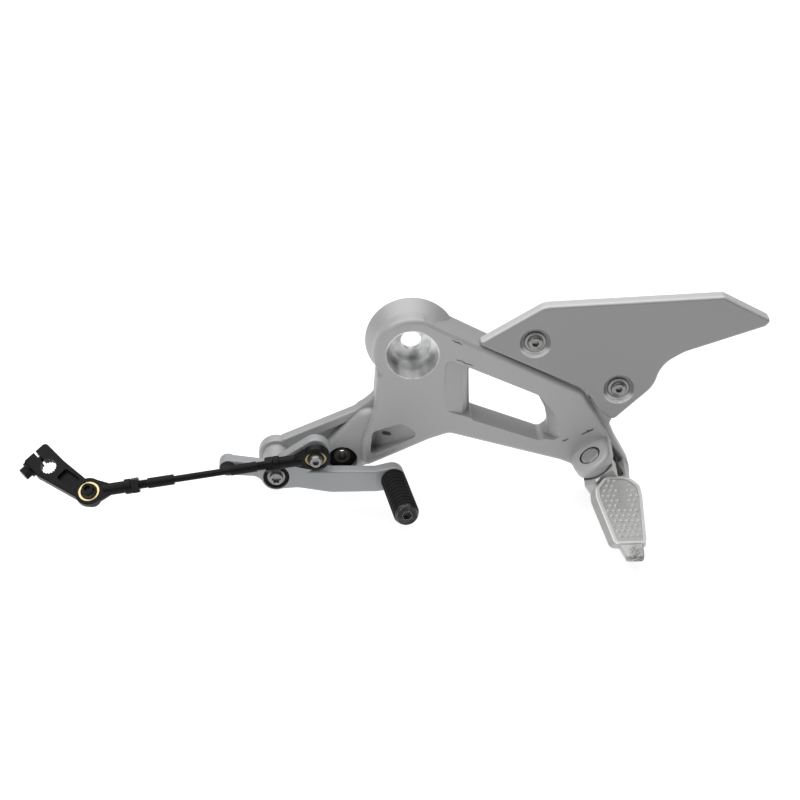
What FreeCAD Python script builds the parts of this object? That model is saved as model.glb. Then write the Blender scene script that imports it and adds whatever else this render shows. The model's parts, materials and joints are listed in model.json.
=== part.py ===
import FreeCAD, Part
import math
import os

from FreeCAD import Placement, Rotation, Vector

# Footrest bracket of a motorbike, left side: a cast hanger that carries a heel guard, a folding
# footpeg and the gear pedal, with the rod and the arm that work the gearbox shaft. Millimetres.
# X runs to the rear, Y runs inward to the bike's frame, Z runs up. The origin is on the main bore,
# at the face that sits on the frame. "Out" is a distance from that face toward the rider, along -Y.

# Levels of the hanger, each one a distance out
BOSS_OUT = 29.0
BODY_OUT = 21.5
REAR_EDGE_OUT = 15.0
ARM_IN = 5.0
ARM_OUT = 14.0
WEB_OUT = 9.0
MOUNT_BOSS_OUT = 22.0
PIVOT_BOSS_OUT = 35.0

# Main boss and its stepped bore
BOSS_FOOT_R = 31.5
BOSS_BACK_R = 33.2
BOSS_BACK_OUT = 3.0
BOSS_WAIST_R = 28.8
BOSS_WAIST_OUT = 18.0
BOSS_FRONT_R = 27.6
FLAT_R = 32.0
FACE_R = 180.0
COUNTERBORE_R = 18.8
COUNTERBORE_FLOOR = 12.0
STEP_R = 14.3
STEP_FLOOR = 5.0
MAIN_BORE_R = 7.5
EDGE_ROUND = 4.0
ARM_ROUND = 1.5

# Places in the side view, as (x, z)
BORE = (0.0, 0.0)
PIVOT = (-99.4, -88.2)
FRONT_MOUNT = (-51.0, -89.0)
GUARD_BOLTS = ((88.0, 7.0), (149.5, -31.5))
REAR_BALL = (-70.7, -68.7)
FRONT_BALL = (-234.0, -93.4)

# Side outlines, each corner as (x, z, corner radius)
BODY_CORNERS = [
    (8, 27.3, 0), (124, -35.0, 10), (134, -53, 16), (149, -84, 8), (140, -104.5, 10), (120, -98, 8),
    (109, -92.8, 30), (35, -68.8, 12), (27, -66.2, 8), (12, -71.3, 30), (-36, -94.2, 4),
    (-37, -72, 14), (-27.5, -46, 20), (-25.5, -18, 0),
]
REAR_EDGE_CORNERS = [
    (112, -40, 6), (135, -42, 6), (151, -82, 10), (162, -103, 10), (164, -122, 6), (136, -122, 8),
    (112, -94, 6),
]
ARM_CORNERS = [
    (-18, -30, 0), (-30, -43, 12), (-40, -51.5, 30), (-95, -75.2, 8), (-104, -84, 4), (-99.4, -101, 8),
    (-51, -105.5, 10), (-20, -92, 6),
]
ARM_POCKET = [(-40, -58, 3), (-85, -78, 3), (-85, -97, 3), (-40, -97, 3)]
BODY_POCKET = [(-31, -84, 3), (-29, -63, 5), (-8, -56, 6), (6, -66, 4)]
WINDOW = [
    (41.4, -13.0, 5), (90.5, -38.5, 12), (97.5, -51, 16), (101, -69.5, 5), (94.5, -75, 5), (42.4, -54.3, 4),
]
DISH = [(24, -3, 4), (92, -36.5, 12), (103, -51, 16), (113, -77, 6), (98, -73.2, 6), (22, -45.5, 6)]

# Floors of the two hollows in the face, each point as (x, out)
DISH_FLOOR = [(21, 29.0), (36.5, 24.8), (41, 12), (91, 12), (111, 26)]
BODY_POCKET_FLOOR = [(-34, 14), (-27, 14), (6, 27.5)]
FLOOR_LOW = -120.0
DRAIN_SLOT = (-20.0, -69.5)
DRAIN_R = 1.6
DRAIN_LENGTH = 3.5

# Front mount with its rubber bush
MOUNT_BOSS_R = 16.5
RIDGE_END = (-30.0, -62.0)
RIDGE_END_R = 13.0
RIDGE_ROUND = 6.0
MOUNT_BORE_R = 11.2
BUSH_OUT = 13.0
SLEEVE_R = 6.0
SLEEVE_BORE_R = 4.25
SLEEVE_OUT = 14.0

# Heel guard, a moulded shell on two lugs
GUARD_CORNERS = [
    (46.5, 6.6, 2), (125.5, -32.3, 12), (137, -50.3, 30), (146, -58.0, 5), (175, -30.3, 24),
    (180, -13, 24), (196, -3.3, 24), (253, 16, 4), (258, 21, 3), (222, 40.7, 6), (94, 35.5, 14),
]
GUARD_IN = 19.0
GUARD_OUT = 28.0
GUARD_WALL = 3.0
GUARD_ROUND = 2.5
GUARD_GAP = 0.4
DISH_R = 11.2
LUG_R = 9.0
LUG_IN = 4.0
LUG_WEB_OUT = 16.0
LUG_ROOTS = ((74.0, -24.0), (134.0, -62.0))
LUG_ROOT_R = 12.0
GUARD_BOLT_R = 3.0
GUARD_FLANGE_R = 7.6
GUARD_HEAD_R = 5.8
GUARD_HEAD_T = 3.9
GUARD_SOCKET = 4.6
GUARD_BOLT_LENGTH = 16.0

# Gear pedal
PEDAL_IN = 36.0
PEDAL_OUT = 46.0
HUB_R = 11.0
TAIL = (-134.0, -79.5)
TAIL_R = 6.4
TAIL_ROOT = (-101.0, -83.5)
TAIL_ROOT_R = 5.0
TAIL_CREASE = (-110.4, -87.8)
TAIL_BLEND = 9.0
TAIL_OUT = 46.6
PLUG_R = 5.8
PLUG_DEPTH = 3.0
EYE_R = 10.6
BAR = [
    (-99, -83.5, 0), (-20, -85.4, 0), (-20, -102.4, 0), (-60, -102.2, 20), (-84, -97.6, 20), (-99, -98.6, 0),
]
BEND = (-27.0, -93.9)
BEND_LAP = 3.0
BAR_HALF = 8.5
TOE = (-14.6, -92.8)
TOE_END_R = 9.2
TOE_YAW = 8.4
PEDAL_ROUND = 1.6

# Pedal pivot: bolt, washer, sleeve, bush and seal
PIVOT_BOSS_R = 9.8
ARM_END_R = 12.8
SLEEVE_OD_R = 6.0
BUSH_OD_R = 8.0
RECESS_R = 9.5
RECESS_DEPTH = 3.4
WASHER_R = 9.2
WASHER_T = 1.6
PIVOT_BOLT_R = 4.0
PIVOT_FLANGE_R = 6.4
PIVOT_HEAD_R = 5.0
PIVOT_HEAD_T = 4.8
PIVOT_BOLT_END = 12.0
LOBE_RING = 2.5
LOBE_R = 0.85
SEAL_R = 9.4
SEAL_INNER_R = 7.4

# Toe peg
TOE_PIN_R = 4.5
TOE_RUBBER_R = 9.2
TOE_RUBBER_LENGTH = 50.0
TOE_RIBS = 11
TOE_GROOVE = 0.9
TOE_CAP_R = 8.4
TOE_CAP_T = 3.2
TOE_SCREW_R = 3.0
TOE_SCREW_LENGTH = 12.0
TOE_SOCKET = 6.0

# Rod with a spherical end on each ball
ROD_OUT = 52.6
BALL_R = 6.35
BALL_WIDTH = 9.0
RACE_R = 7.8
RACE_WIDTH = 3.8
HEAD_R = 10.4
HEAD_WIDTH = 6.0
SHANK_R = 4.4
COLLAR_R = 5.5
NUT_FLATS = 10.0
NUT_HEIGHT = 5.6
THREAD_R = 3.0
GRIP_R = 3.8
ROD_R = 2.5
SHANK_LENGTH = 26.0
NECK_START = 4.0
NECK_LENGTH = 5.0
THREAD_START = 6.0
COLLAR_LENGTH = 5.0
GRIP_START = 43.0
GRIP_LENGTH = 19.0
REAR_ROLL = -14.0
FRONT_ROLL = -53.0
BALL_BOLT_R = 3.0
BALL_HEAD_R = 4.8
BALL_HEAD_T = 3.3
BALL_SOCKET = 4.4
SPACER_R = 4.6

# Arm on the gearbox shaft, drawn upright and then rolled with the front joint about the rod.
# Its clamp is set out along the pinch bolt and along the slot.
SHAFT = (FRONT_BALL[0] - 33.2, FRONT_BALL[1] + 23.2)
SHAFT_R = 5.7
SPLINES = 18
SPLINE_DEPTH = 0.6
SHIFT_ARM_OUT = ROD_OUT - BALL_WIDTH / 2
SHIFT_ARM_T = 8.0
SLOT_ANGLE = 135.0
SLOT_WIDTH = 1.8
CLAMP_CORNERS = [(-10.7, -4, 5), (-10.7, 16, 2), (10.7, 16, 3), (10.7, -5, 0)]
BEAM_R = 10.2
BEAM_END_R = 6.8
BEAM_POCKET = [(-26.5, 13.6, 2), (-20.0, 21.0, 2), (-8.5, 12.4, 2), (-14.5, 4.4, 2)]
BEAM_POCKET_DEPTH = 3.5
PINCH_OFFSET = 9.6
PINCH_R = 2.5
PINCH_LENGTH = 17.0
PINCH_FLANGE_R = 6.2
PINCH_FLANGE_T = 1.6
PINCH_FLATS = 9.0
PINCH_HEAD = 6.4

# Footpeg hinge: the pin leans forward and the peg droops toward its tip
HINGE = Vector(139.0, -30.7, -98.7)
DROOP = 11.0
PIN_TILT = 30.0
PIN_R = 5.0
PIN_HEAD_R = 7.0
EAR_IN = 10.5
EAR_OUT = 19.0
EAR_R = 15.0
EAR_REACH = 24.0
EAR_ROUND = 3.0
SPOT_R = 8.0
SPOT_FLOOR = 16.5
HINGE_SLOT_R = 16.6
KNUCKLE_R = 12.5
KNUCKLE_LOW = 1.0
CLIP_R = 8.0
CLIP_T = 1.2
SPRING_R = 12.4
SPRING_WIRE = 2.4
SPRING_TURNS = 3.0
RUNNING = 0.05
SIDE_GAP = 0.2
EAR_GAP = 0.8
PEG_NECK = (-10.5, 12.5, 20.0)
THROUGH = 60.0

# Footpeg, set out from the hinge: x to the rear, y inward, z up from the pin's middle.
# Its front flank slopes from the foot of the plate up to the narrower tread.
PEG_TOP = 9.0
PEG_PLATE_T = 5.0
PEG_BOTTOM = -6.0
KEEL_CORNERS = [(0, -14, 2), (14, -14, 2), (11, -62, 3), (4, -62, 3)]
FOOT_CORNERS = [
    (-2, -15.5, 6), (17, -15.5, 10), (24.6, -26, 10), (25, -38, 20), (22, -87.5, 4), (-3.6, -87.5, 5),
    (-11.8, -38, 20), (-11.4, -28, 10),
]
TREAD_CORNERS = [
    (0.5, -15.5, 6), (17, -15.5, 10), (24.6, -26, 10), (25, -38, 20), (22, -87.5, 4), (0, -87.5, 4),
    (-7.6, -38, 20), (-7.2, -28, 10),
]
PEG_RIM = 2.2
TREAD_DEPTH = 1.2
STUD_ROWS = 13
STUD_ROW = 5.4
STUD_COLUMNS = 5
STUD_PITCH = 4.1
STUD_MARGIN = 1.4
BARE_ROWS = 6
BARE_HALF = 2.5
STUD_BASE = 3.7
STUD_HEIGHT = 1.9
TIP_CORNERS = [(2, -85, 0), (20, -85, 0), (19, -101, 2.5), (6.5, -101, 2.5)]
TIP_TOP = 8.0
TIP_BOTTOM = 3.0
PEG_ROUND = 1.2


def at_out(place, out):
    """The point of a side-view place at a distance out."""
    return Vector(place[0], -out, place[1])


def outline(corners):
    """A face in the side view through the corners, each rounded by its own radius."""
    bends = []
    for i, (x, z, radius) in enumerate(corners):
        here = Vector(x, 0, z)
        before = Vector(corners[i - 1][0], 0, corners[i - 1][1]) - here
        after = Vector(corners[(i + 1) % len(corners)][0], 0, corners[(i + 1) % len(corners)][1]) - here
        half = before.getAngle(after) / 2
        before.normalize()
        after.normalize()
        run = radius / math.tan(half)
        middle = Vector(before + after).normalize() * (radius / math.sin(half) - radius)
        bends.append((here + before * run, here + middle, here + after * run))
    edges = []
    for i, (start, middle, end) in enumerate(bends):
        if (end - start).Length > 1e-6:
            edges.append(Part.Arc(start, middle, end).toShape())
        edges.append(Part.makeLine(end, bends[(i + 1) % len(bends)][0]))
    return Part.Face(Part.Wire(edges))


def slab(corners, inner, outer):
    """A side outline as a plate between two levels."""
    face = outline(corners)
    face.translate(Vector(0, -inner, 0))
    return face.extrude(Vector(0, inner - outer, 0))


def disc(place, radius, inner, outer):
    """A round bar between two levels."""
    return Part.makeCylinder(radius, outer - inner, at_out(place, outer), Vector(0, 1, 0))


def ring(place, radius, hole, inner, outer):
    """A tube between two levels."""
    return disc(place, radius, inner, outer).cut(disc(place, hole, inner, outer))


def spin(place, profile):
    """A turned piece about an axis along Y, from a profile of (radius, out)."""
    points = [Vector(place[0] + radius, -out, place[1]) for radius, out in profile]
    face = Part.Face(Part.makePolygon(points + points[:1]))
    return face.revolve(Vector(place[0], 0, place[1]), Vector(0, 1, 0), 360)


def lathe(profile):
    """A turned piece about +Z, from a profile of (radius, height)."""
    points = [Vector(radius, 0, height) for radius, height in profile]
    face = Part.Face(Part.makePolygon(points + points[:1]))
    return face.revolve(Vector(0, 0, 0), Vector(0, 0, 1), 360)


def link(a, a_radius, b, b_radius, inner, outer):
    """A plate round two places with straight sides between the rounds."""
    along = Vector(b[0] - a[0], 0, b[1] - a[1])
    lean = math.acos((a_radius - b_radius) / along.Length)
    along.normalize()
    across = Vector(-along.z, 0, along.x)
    sides = [along * math.cos(lean) + across * (sign * math.sin(lean)) for sign in (1, -1)]
    quad = [
        (a[0] + sides[0].x * a_radius, a[1] + sides[0].z * a_radius, 0),
        (b[0] + sides[0].x * b_radius, b[1] + sides[0].z * b_radius, 0),
        (b[0] + sides[1].x * b_radius, b[1] + sides[1].z * b_radius, 0),
        (a[0] + sides[1].x * a_radius, a[1] + sides[1].z * a_radius, 0),
    ]
    rounds = [disc(a, a_radius, inner, outer), disc(b, b_radius, inner, outer)]
    return slab(quad, inner, outer).multiFuse(rounds).removeSplitter()


def ramped(corners, floor, top):
    """A hollow with a side outline, its floor running through points of (x, out)."""
    start, end = floor[0][0], floor[-1][0]
    points = [(start, top), *floor, (end, top), (start, top)]
    side = Part.Face(Part.makePolygon([Vector(x, -out, FLOOR_LOW) for x, out in points]))
    return slab(corners, 0, top).common(side.extrude(Vector(0, 0, -FLOOR_LOW)))


def blend(shape, place, radius):
    """Round the edge across the plate that is nearest to a side-view place."""
    across = []
    for edge in shape.Edges:
        if abs(edge.tangentAt(edge.FirstParameter).y) > 0.999:
            away = math.hypot(edge.Vertexes[0].X - place[0], edge.Vertexes[0].Z - place[1])
            across.append((away, edge))
    nearest = min(across, key=lambda pair: pair[0])[1]
    return shape.makeFillet(radius, [nearest])


def soften(shape, out, radius):
    """Round every edge that lies at one level."""
    edges = [e for e in shape.Edges if all(abs(v.Point.y + out) < 1e-6 for v in e.Vertexes)]
    return shape.makeFillet(radius, edges)


def hexagon(flats, height):
    """A hexagon bar along +Z."""
    corner = flats / math.sqrt(3)
    points = [Vector(corner, 0, 0)]
    for i in range(1, 7):
        points.append(Vector(corner * math.cos(i * math.pi / 3), corner * math.sin(i * math.pi / 3), 0))
    return Part.Face(Part.makePolygon(points)).extrude(Vector(0, 0, height))


def nut_blank(flats, height):
    """A hexagon along +Z with its corners turned off at both faces."""
    half = flats / 2
    corner = flats / math.sqrt(3)
    turn = (corner - half) * 0.6
    round_off = lathe(
        [(0, 0), (half, 0), (corner, turn), (corner, height - turn), (half, height), (0, height)]
    )
    return hexagon(flats, height).common(round_off)


def nut(flats, bore, height):
    """A hexagon nut along +Z."""
    return nut_blank(flats, height).cut(Part.makeCylinder(bore, height))


def stand(shape, base, axis):
    """Move a piece modelled along +Z to a base point and an axis."""
    shape.Placement = Placement(base, Rotation(Vector(0, 0, 1), axis)).multiply(shape.Placement)
    return shape


def socket_cut(place, flats, floor, mouth):
    """The hexagon hole of a socket screw, open toward the rider."""
    return stand(hexagon(flats, mouth - floor), at_out(place, floor), Vector(0, -1, 0))


def in_peg(shape):
    """Move a piece from the footpeg's own axes to its place on the hanger."""
    shape.Placement = Placement(HINGE, Rotation(Vector(1, 0, 0), DROOP)).multiply(shape.Placement)
    return shape


def in_hinge(shape):
    """Move a piece from the pin's axes, z along the pin, to its place on the hanger."""
    lean = Placement(Vector(0, 0, 0), Rotation(Vector(0, 1, 0), -PIN_TILT))
    shape.Placement = lean.multiply(shape.Placement)
    return in_peg(shape)


def upright(radius, low, high):
    """A round bar on the pin's axis, in the pin's axes."""
    return Part.makeCylinder(radius, high - low, Vector(0, 0, low))


def ear(low, high):
    """One ear of the hinge: a round end on the pin and a stem into the casting."""
    stem = Part.makeBox(2 * EAR_R, EAR_REACH, high - low, Vector(-EAR_R, 0, low))
    solid = upright(EAR_R, low, high).fuse(stem).removeSplitter()
    rim = [e for e in solid.Edges if all(abs(abs(v.Z) - EAR_OUT) < 1e-6 for v in e.Vertexes)]
    return in_hinge(solid.makeFillet(EAR_ROUND, rim))


def front_arm():
    """The thin front arm, its web sunk behind a rim."""
    arm = soften(slab(ARM_CORNERS, ARM_IN, ARM_OUT), ARM_OUT, ARM_ROUND)
    arm = arm.cut(slab(ARM_POCKET, WEB_OUT, ARM_OUT + 1))
    arm_end = soften(disc(PIVOT, ARM_END_R, ARM_IN, ARM_OUT), ARM_OUT, ARM_ROUND)
    pivot_boss = soften(disc(PIVOT, PIVOT_BOSS_R, ARM_IN, PIVOT_BOSS_OUT), PIVOT_BOSS_OUT, 0.6)
    ridge = link(FRONT_MOUNT, MOUNT_BOSS_R, RIDGE_END, RIDGE_END_R, 0, MOUNT_BOSS_OUT)
    ridge = soften(ridge, MOUNT_BOSS_OUT, RIDGE_ROUND)
    return arm.multiFuse([arm_end, pivot_boss, ridge])


def body_plate():
    """The plate of the body, level with the boss round the bore and falling gently away from it."""
    hill = [(0, 0), (FACE_R, 0), (FACE_R, BODY_OUT), (FLAT_R, BOSS_OUT), (0, BOSS_OUT)]
    plate = slab(BODY_CORNERS, 0, BOSS_OUT).common(spin(BORE, hill))
    rim = []
    for edge in plate.Edges:
        crease = edge.Curve.TypeId == "Part::GeomCircle" and abs(edge.Curve.Radius - FLAT_R) < 1e-6
        if all(-v.Y > BODY_OUT - 1 for v in edge.Vertexes) and not crease:
            rim.append(edge)
    return plate.makeFillet(EDGE_ROUND, rim)


def main_boss():
    """The boss round the main bore, wide at the frame and rounded at its front edge."""
    profile = [
        (0, 0), (BOSS_FOOT_R, 0), (BOSS_BACK_R, BOSS_BACK_OUT), (BOSS_WAIST_R, BOSS_WAIST_OUT),
        (BOSS_FRONT_R, BOSS_OUT), (0, BOSS_OUT),
    ]
    return soften(spin(BORE, profile), BOSS_OUT, EDGE_ROUND)


def guard_lugs():
    """The two lugs that carry the heel guard, each on a web from the upper arm."""
    lug_out = GUARD_OUT - 2 * GUARD_WALL
    pieces = [disc(place, LUG_R, LUG_IN, lug_out) for place in GUARD_BOLTS]
    for place, root in zip(GUARD_BOLTS, LUG_ROOTS):
        pieces.append(link(place, LUG_R - 1, root, LUG_ROOT_R, LUG_IN, LUG_WEB_OUT))
    return pieces


def hanger():
    """The cast hanger in one piece."""
    rear_edge = soften(slab(REAR_EDGE_CORNERS, 0, REAR_EDGE_OUT), REAR_EDGE_OUT, 4.0)
    ears = [ear(EAR_IN, EAR_OUT), ear(-EAR_OUT, -EAR_IN)]
    solid = body_plate().multiFuse([rear_edge, front_arm(), main_boss(), *guard_lugs(), *ears])
    drain = link(
        DRAIN_SLOT, DRAIN_R, (DRAIN_SLOT[0] + DRAIN_LENGTH, DRAIN_SLOT[1]), DRAIN_R - 0.1, -1, BOSS_OUT
    )
    cuts = [
        disc(BORE, COUNTERBORE_R, COUNTERBORE_FLOOR, BOSS_OUT + 1),
        disc(BORE, STEP_R, STEP_FLOOR, BOSS_OUT),
        disc(BORE, MAIN_BORE_R, -1, BOSS_OUT),
        disc(FRONT_MOUNT, MOUNT_BORE_R, -1, MOUNT_BOSS_OUT + 1),
        disc(PIVOT, PIVOT_BOLT_R, PIVOT_BOLT_END - 2, PIVOT_BOSS_OUT + 1),
        slab(WINDOW, -1, BOSS_OUT),
        ramped(DISH, DISH_FLOOR, BOSS_OUT + 1),
        ramped(BODY_POCKET, BODY_POCKET_FLOOR, BOSS_OUT),
        drain,
        in_hinge(upright(HINGE_SLOT_R, -EAR_IN, EAR_IN)),
        in_hinge(upright(PIN_R + RUNNING, -THROUGH, THROUGH)),
        in_hinge(upright(SPOT_R, SPOT_FLOOR, THROUGH)),
        in_hinge(upright(CLIP_R + 1, -THROUGH, -EAR_OUT)),
    ]
    cuts += [disc(place, GUARD_BOLT_R, LUG_IN + 2, GUARD_OUT) for place in GUARD_BOLTS]
    return solid.cut(cuts).removeSplitter()


def front_mount_bush():
    """Rubber bush in the front mount."""
    return ring(FRONT_MOUNT, MOUNT_BORE_R, SLEEVE_R, 0, BUSH_OUT)


def front_mount_sleeve():
    """Steel sleeve bonded in the rubber bush."""
    return ring(FRONT_MOUNT, SLEEVE_R, SLEEVE_BORE_R, 0, SLEEVE_OUT)


def heel_guard():
    """Moulded guard: a shell open toward the frame, dished round its two bolts."""
    shell = soften(slab(GUARD_CORNERS, GUARD_IN, GUARD_OUT), GUARD_OUT, GUARD_ROUND)
    inside = outline(GUARD_CORNERS).makeOffset2D(-GUARD_WALL)
    inside.translate(Vector(0, -GUARD_IN, 0))
    floor = GUARD_OUT - GUARD_WALL
    shell = shell.cut(inside.extrude(Vector(0, GUARD_IN - floor, 0)))
    for place in GUARD_BOLTS:
        shell = shell.fuse(disc(place, DISH_R + GUARD_WALL, floor - GUARD_WALL, floor))
        dish = [(0, floor), (DISH_R - 1.8, floor), (DISH_R, GUARD_OUT), (0, GUARD_OUT)]
        shell = shell.cut(spin(place, dish))
        shell = shell.cut(disc(place, GUARD_BOLT_R + 0.3, 0, GUARD_OUT))
    body_side = slab(BODY_CORNERS, 0, BOSS_OUT).makeOffsetShape(GUARD_GAP, 0.01)
    return shell.cut(body_side).removeSplitter()


def heel_guard_bolt(place):
    """Flanged button-head bolt of the guard."""
    seat = GUARD_OUT - GUARD_WALL
    profile = [
        (0, seat - GUARD_BOLT_LENGTH), (GUARD_BOLT_R, seat - GUARD_BOLT_LENGTH), (GUARD_BOLT_R, seat),
        (GUARD_FLANGE_R, seat), (GUARD_FLANGE_R, seat + 1.2), (GUARD_HEAD_R, seat + 1.6),
        (GUARD_HEAD_R - 0.7, seat + 3.2), (GUARD_HEAD_R - 2.0, seat + GUARD_HEAD_T),
        (0, seat + GUARD_HEAD_T),
    ]
    return spin(place, profile).cut(socket_cut(place, GUARD_SOCKET, seat + 1.2, seat + GUARD_HEAD_T))


def turned(shape):
    """Turn the pedal's end inward about the bend in its front face."""
    shape.rotate(at_out(BEND, PEDAL_OUT), Vector(0, 0, 1), TOE_YAW)
    return shape


def past_bend(lap, inner):
    """The space past the pedal's bend and out from a level, starting a lap before the bend."""
    corner = Vector(BEND[0] - lap, -inner - THROUGH, BEND[1] - THROUGH / 2)
    return Part.makeBox(THROUGH, THROUGH, THROUGH, corner)


def toe_end():
    """The pedal's turned end, which laps the bar behind its front face."""
    end = link(BEND, BAR_HALF, TOE, TOE_END_R, PEDAL_IN, PEDAL_OUT)
    end = soften(soften(end, PEDAL_OUT, PEDAL_ROUND), PEDAL_IN, PEDAL_ROUND)
    end = turned(end.common(past_bend(BEND_LAP, PEDAL_IN - 1)))
    proud = past_bend(THROUGH, PEDAL_OUT)
    return end.cut(proud)


def gear_pedal():
    """Forged pedal: hub, bar to the toe peg, finger to the rod and a tail with an eye."""
    hub = disc(PIVOT, HUB_R, PEDAL_IN, PEDAL_OUT)
    tail = link(TAIL_ROOT, TAIL_ROOT_R, TAIL, TAIL_R, PEDAL_IN, PEDAL_OUT)
    finger = link(PIVOT, HUB_R, REAR_BALL, EYE_R, PEDAL_IN, PEDAL_OUT)
    bar = slab(BAR, PEDAL_IN, PEDAL_OUT)
    plate = blend(hub.multiFuse([tail, finger, bar]).removeSplitter(), TAIL_CREASE, TAIL_BLEND)
    plate = soften(soften(plate, PEDAL_OUT, PEDAL_ROUND), PEDAL_IN, PEDAL_ROUND)
    plate = plate.cut(past_bend(0, PEDAL_IN - 1))
    tail_eye = soften(disc(TAIL, TAIL_R, PEDAL_IN, TAIL_OUT), TAIL_OUT, 0.6)
    spacer = disc(REAR_BALL, SPACER_R, PEDAL_OUT - 1, ROD_OUT - BALL_WIDTH / 2)
    solid = plate.multiFuse([toe_end(), tail_eye, spacer])
    cuts = [
        disc(PIVOT, BUSH_OD_R, PEDAL_IN - 1, PEDAL_OUT + 1),
        disc(PIVOT, RECESS_R, PEDAL_OUT - RECESS_DEPTH, PEDAL_OUT + 1),
        disc(REAR_BALL, BALL_BOLT_R, PEDAL_IN - 1, ROD_OUT),
        disc(TAIL, PLUG_R, TAIL_OUT - PLUG_DEPTH, TAIL_OUT + 1),
        turned(disc(TOE, TOE_PIN_R, PEDAL_IN + 1, PEDAL_OUT + 1)),
    ]
    return solid.cut(cuts).removeSplitter()


def tail_plug():
    """Plug that closes the eye of the pedal's tail."""
    return soften(disc(TAIL, PLUG_R, TAIL_OUT - PLUG_DEPTH, TAIL_OUT), TAIL_OUT, 0.5)


def pedal_bush():
    """Plain bush pressed into the pedal's hub."""
    return ring(PIVOT, BUSH_OD_R, SLEEVE_OD_R + RUNNING, PEDAL_IN, PEDAL_OUT - RECESS_DEPTH)


def washer_level():
    """How far out the pivot washer starts: just clear of the pedal's recess."""
    return PEDAL_OUT - RECESS_DEPTH + 0.1


def pivot_sleeve():
    """Hard sleeve that the bolt clamps to the boss; the pedal turns on it."""
    return ring(PIVOT, SLEEVE_OD_R, PIVOT_BOLT_R, PIVOT_BOSS_OUT, washer_level())


def pivot_washer():
    """Washer that holds the pedal on its sleeve."""
    return ring(PIVOT, WASHER_R, PIVOT_BOLT_R, washer_level(), washer_level() + WASHER_T)


def pivot_seal():
    """Dust seal between the boss and the pedal."""
    return ring(PIVOT, SEAL_R, SEAL_INNER_R, PIVOT_BOSS_OUT, PEDAL_IN - 0.1)


def pivot_bolt():
    """Flanged pivot bolt with a six-lobe socket."""
    seat = washer_level() + WASHER_T
    top = seat + PIVOT_HEAD_T
    profile = [
        (0, PIVOT_BOLT_END), (PIVOT_BOLT_R, PIVOT_BOLT_END), (PIVOT_BOLT_R, seat), (PIVOT_FLANGE_R, seat),
        (PIVOT_FLANGE_R, seat + 1.2), (PIVOT_HEAD_R, seat + 1.8), (PIVOT_HEAD_R, top - 0.6),
        (PIVOT_HEAD_R - 0.6, top), (0, top),
    ]
    lobes = [disc(PIVOT, LOBE_RING, seat + 2, top)]
    for i in range(6):
        turn = i * math.pi / 3
        centre = (PIVOT[0] + LOBE_RING * math.cos(turn), PIVOT[1] + LOBE_RING * math.sin(turn))
        lobes.append(disc(centre, LOBE_R, seat + 2, top))
    return spin(PIVOT, profile).cut(lobes)


def toe_peg_pin():
    """Steel pin pressed into the pedal's end, tapped for the end screw."""
    pin = disc(TOE, TOE_PIN_R, PEDAL_IN + 1, PEDAL_OUT + TOE_RUBBER_LENGTH)
    end = PEDAL_OUT + TOE_RUBBER_LENGTH
    return turned(pin.cut(disc(TOE, TOE_SCREW_R, end - TOE_SCREW_LENGTH - 2, end)))


def toe_peg_rubber():
    """Rubber sleeve with ring grooves."""
    pitch = TOE_RUBBER_LENGTH / TOE_RIBS
    profile = [(TOE_PIN_R, PEDAL_OUT)]
    for i in range(TOE_RIBS):
        start = PEDAL_OUT + i * pitch
        profile += [
            (TOE_RUBBER_R - TOE_GROOVE, start), (TOE_RUBBER_R - TOE_GROOVE, start + 0.25 * pitch),
            (TOE_RUBBER_R, start + 0.4 * pitch), (TOE_RUBBER_R, start + 0.85 * pitch),
        ]
    end = PEDAL_OUT + TOE_RUBBER_LENGTH
    profile += [(TOE_RUBBER_R - TOE_GROOVE, end), (TOE_PIN_R, end)]
    return turned(spin(TOE, profile))


def toe_peg_screw():
    """End screw whose wide head keeps the rubber on."""
    seat = PEDAL_OUT + TOE_RUBBER_LENGTH
    profile = [
        (0, seat - TOE_SCREW_LENGTH), (TOE_SCREW_R, seat - TOE_SCREW_LENGTH), (TOE_SCREW_R, seat),
        (TOE_CAP_R, seat), (TOE_CAP_R, seat + 0.6 * TOE_CAP_T), (TOE_CAP_R - 0.9, seat + TOE_CAP_T),
        (0, seat + TOE_CAP_T),
    ]
    return turned(spin(TOE, profile).cut(socket_cut(TOE, TOE_SOCKET, seat + 0.5, seat + TOE_CAP_T)))


def rod_axis():
    """Unit vector from the rear ball to the front ball."""
    return (at_out(FRONT_BALL, ROD_OUT) - at_out(REAR_BALL, ROD_OUT)).normalize()


def rod_length():
    """Distance between the two balls."""
    return (at_out(FRONT_BALL, ROD_OUT) - at_out(REAR_BALL, ROD_OUT)).Length


def on_rod(shape, from_front, roll):
    """Place a piece that is modelled along +Z from a ball's centre on the rod."""
    shape.rotate(Vector(0, 0, 0), Vector(0, 0, 1), roll)
    if from_front:
        return stand(shape, at_out(FRONT_BALL, ROD_OUT), rod_axis() * -1)
    return stand(shape, at_out(REAR_BALL, ROD_OUT), rod_axis())


def cross(radius, width):
    """A round bar across the rod through a ball's centre."""
    return Part.makeCylinder(radius, width, Vector(0, -width / 2, 0), Vector(0, 1, 0))


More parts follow.
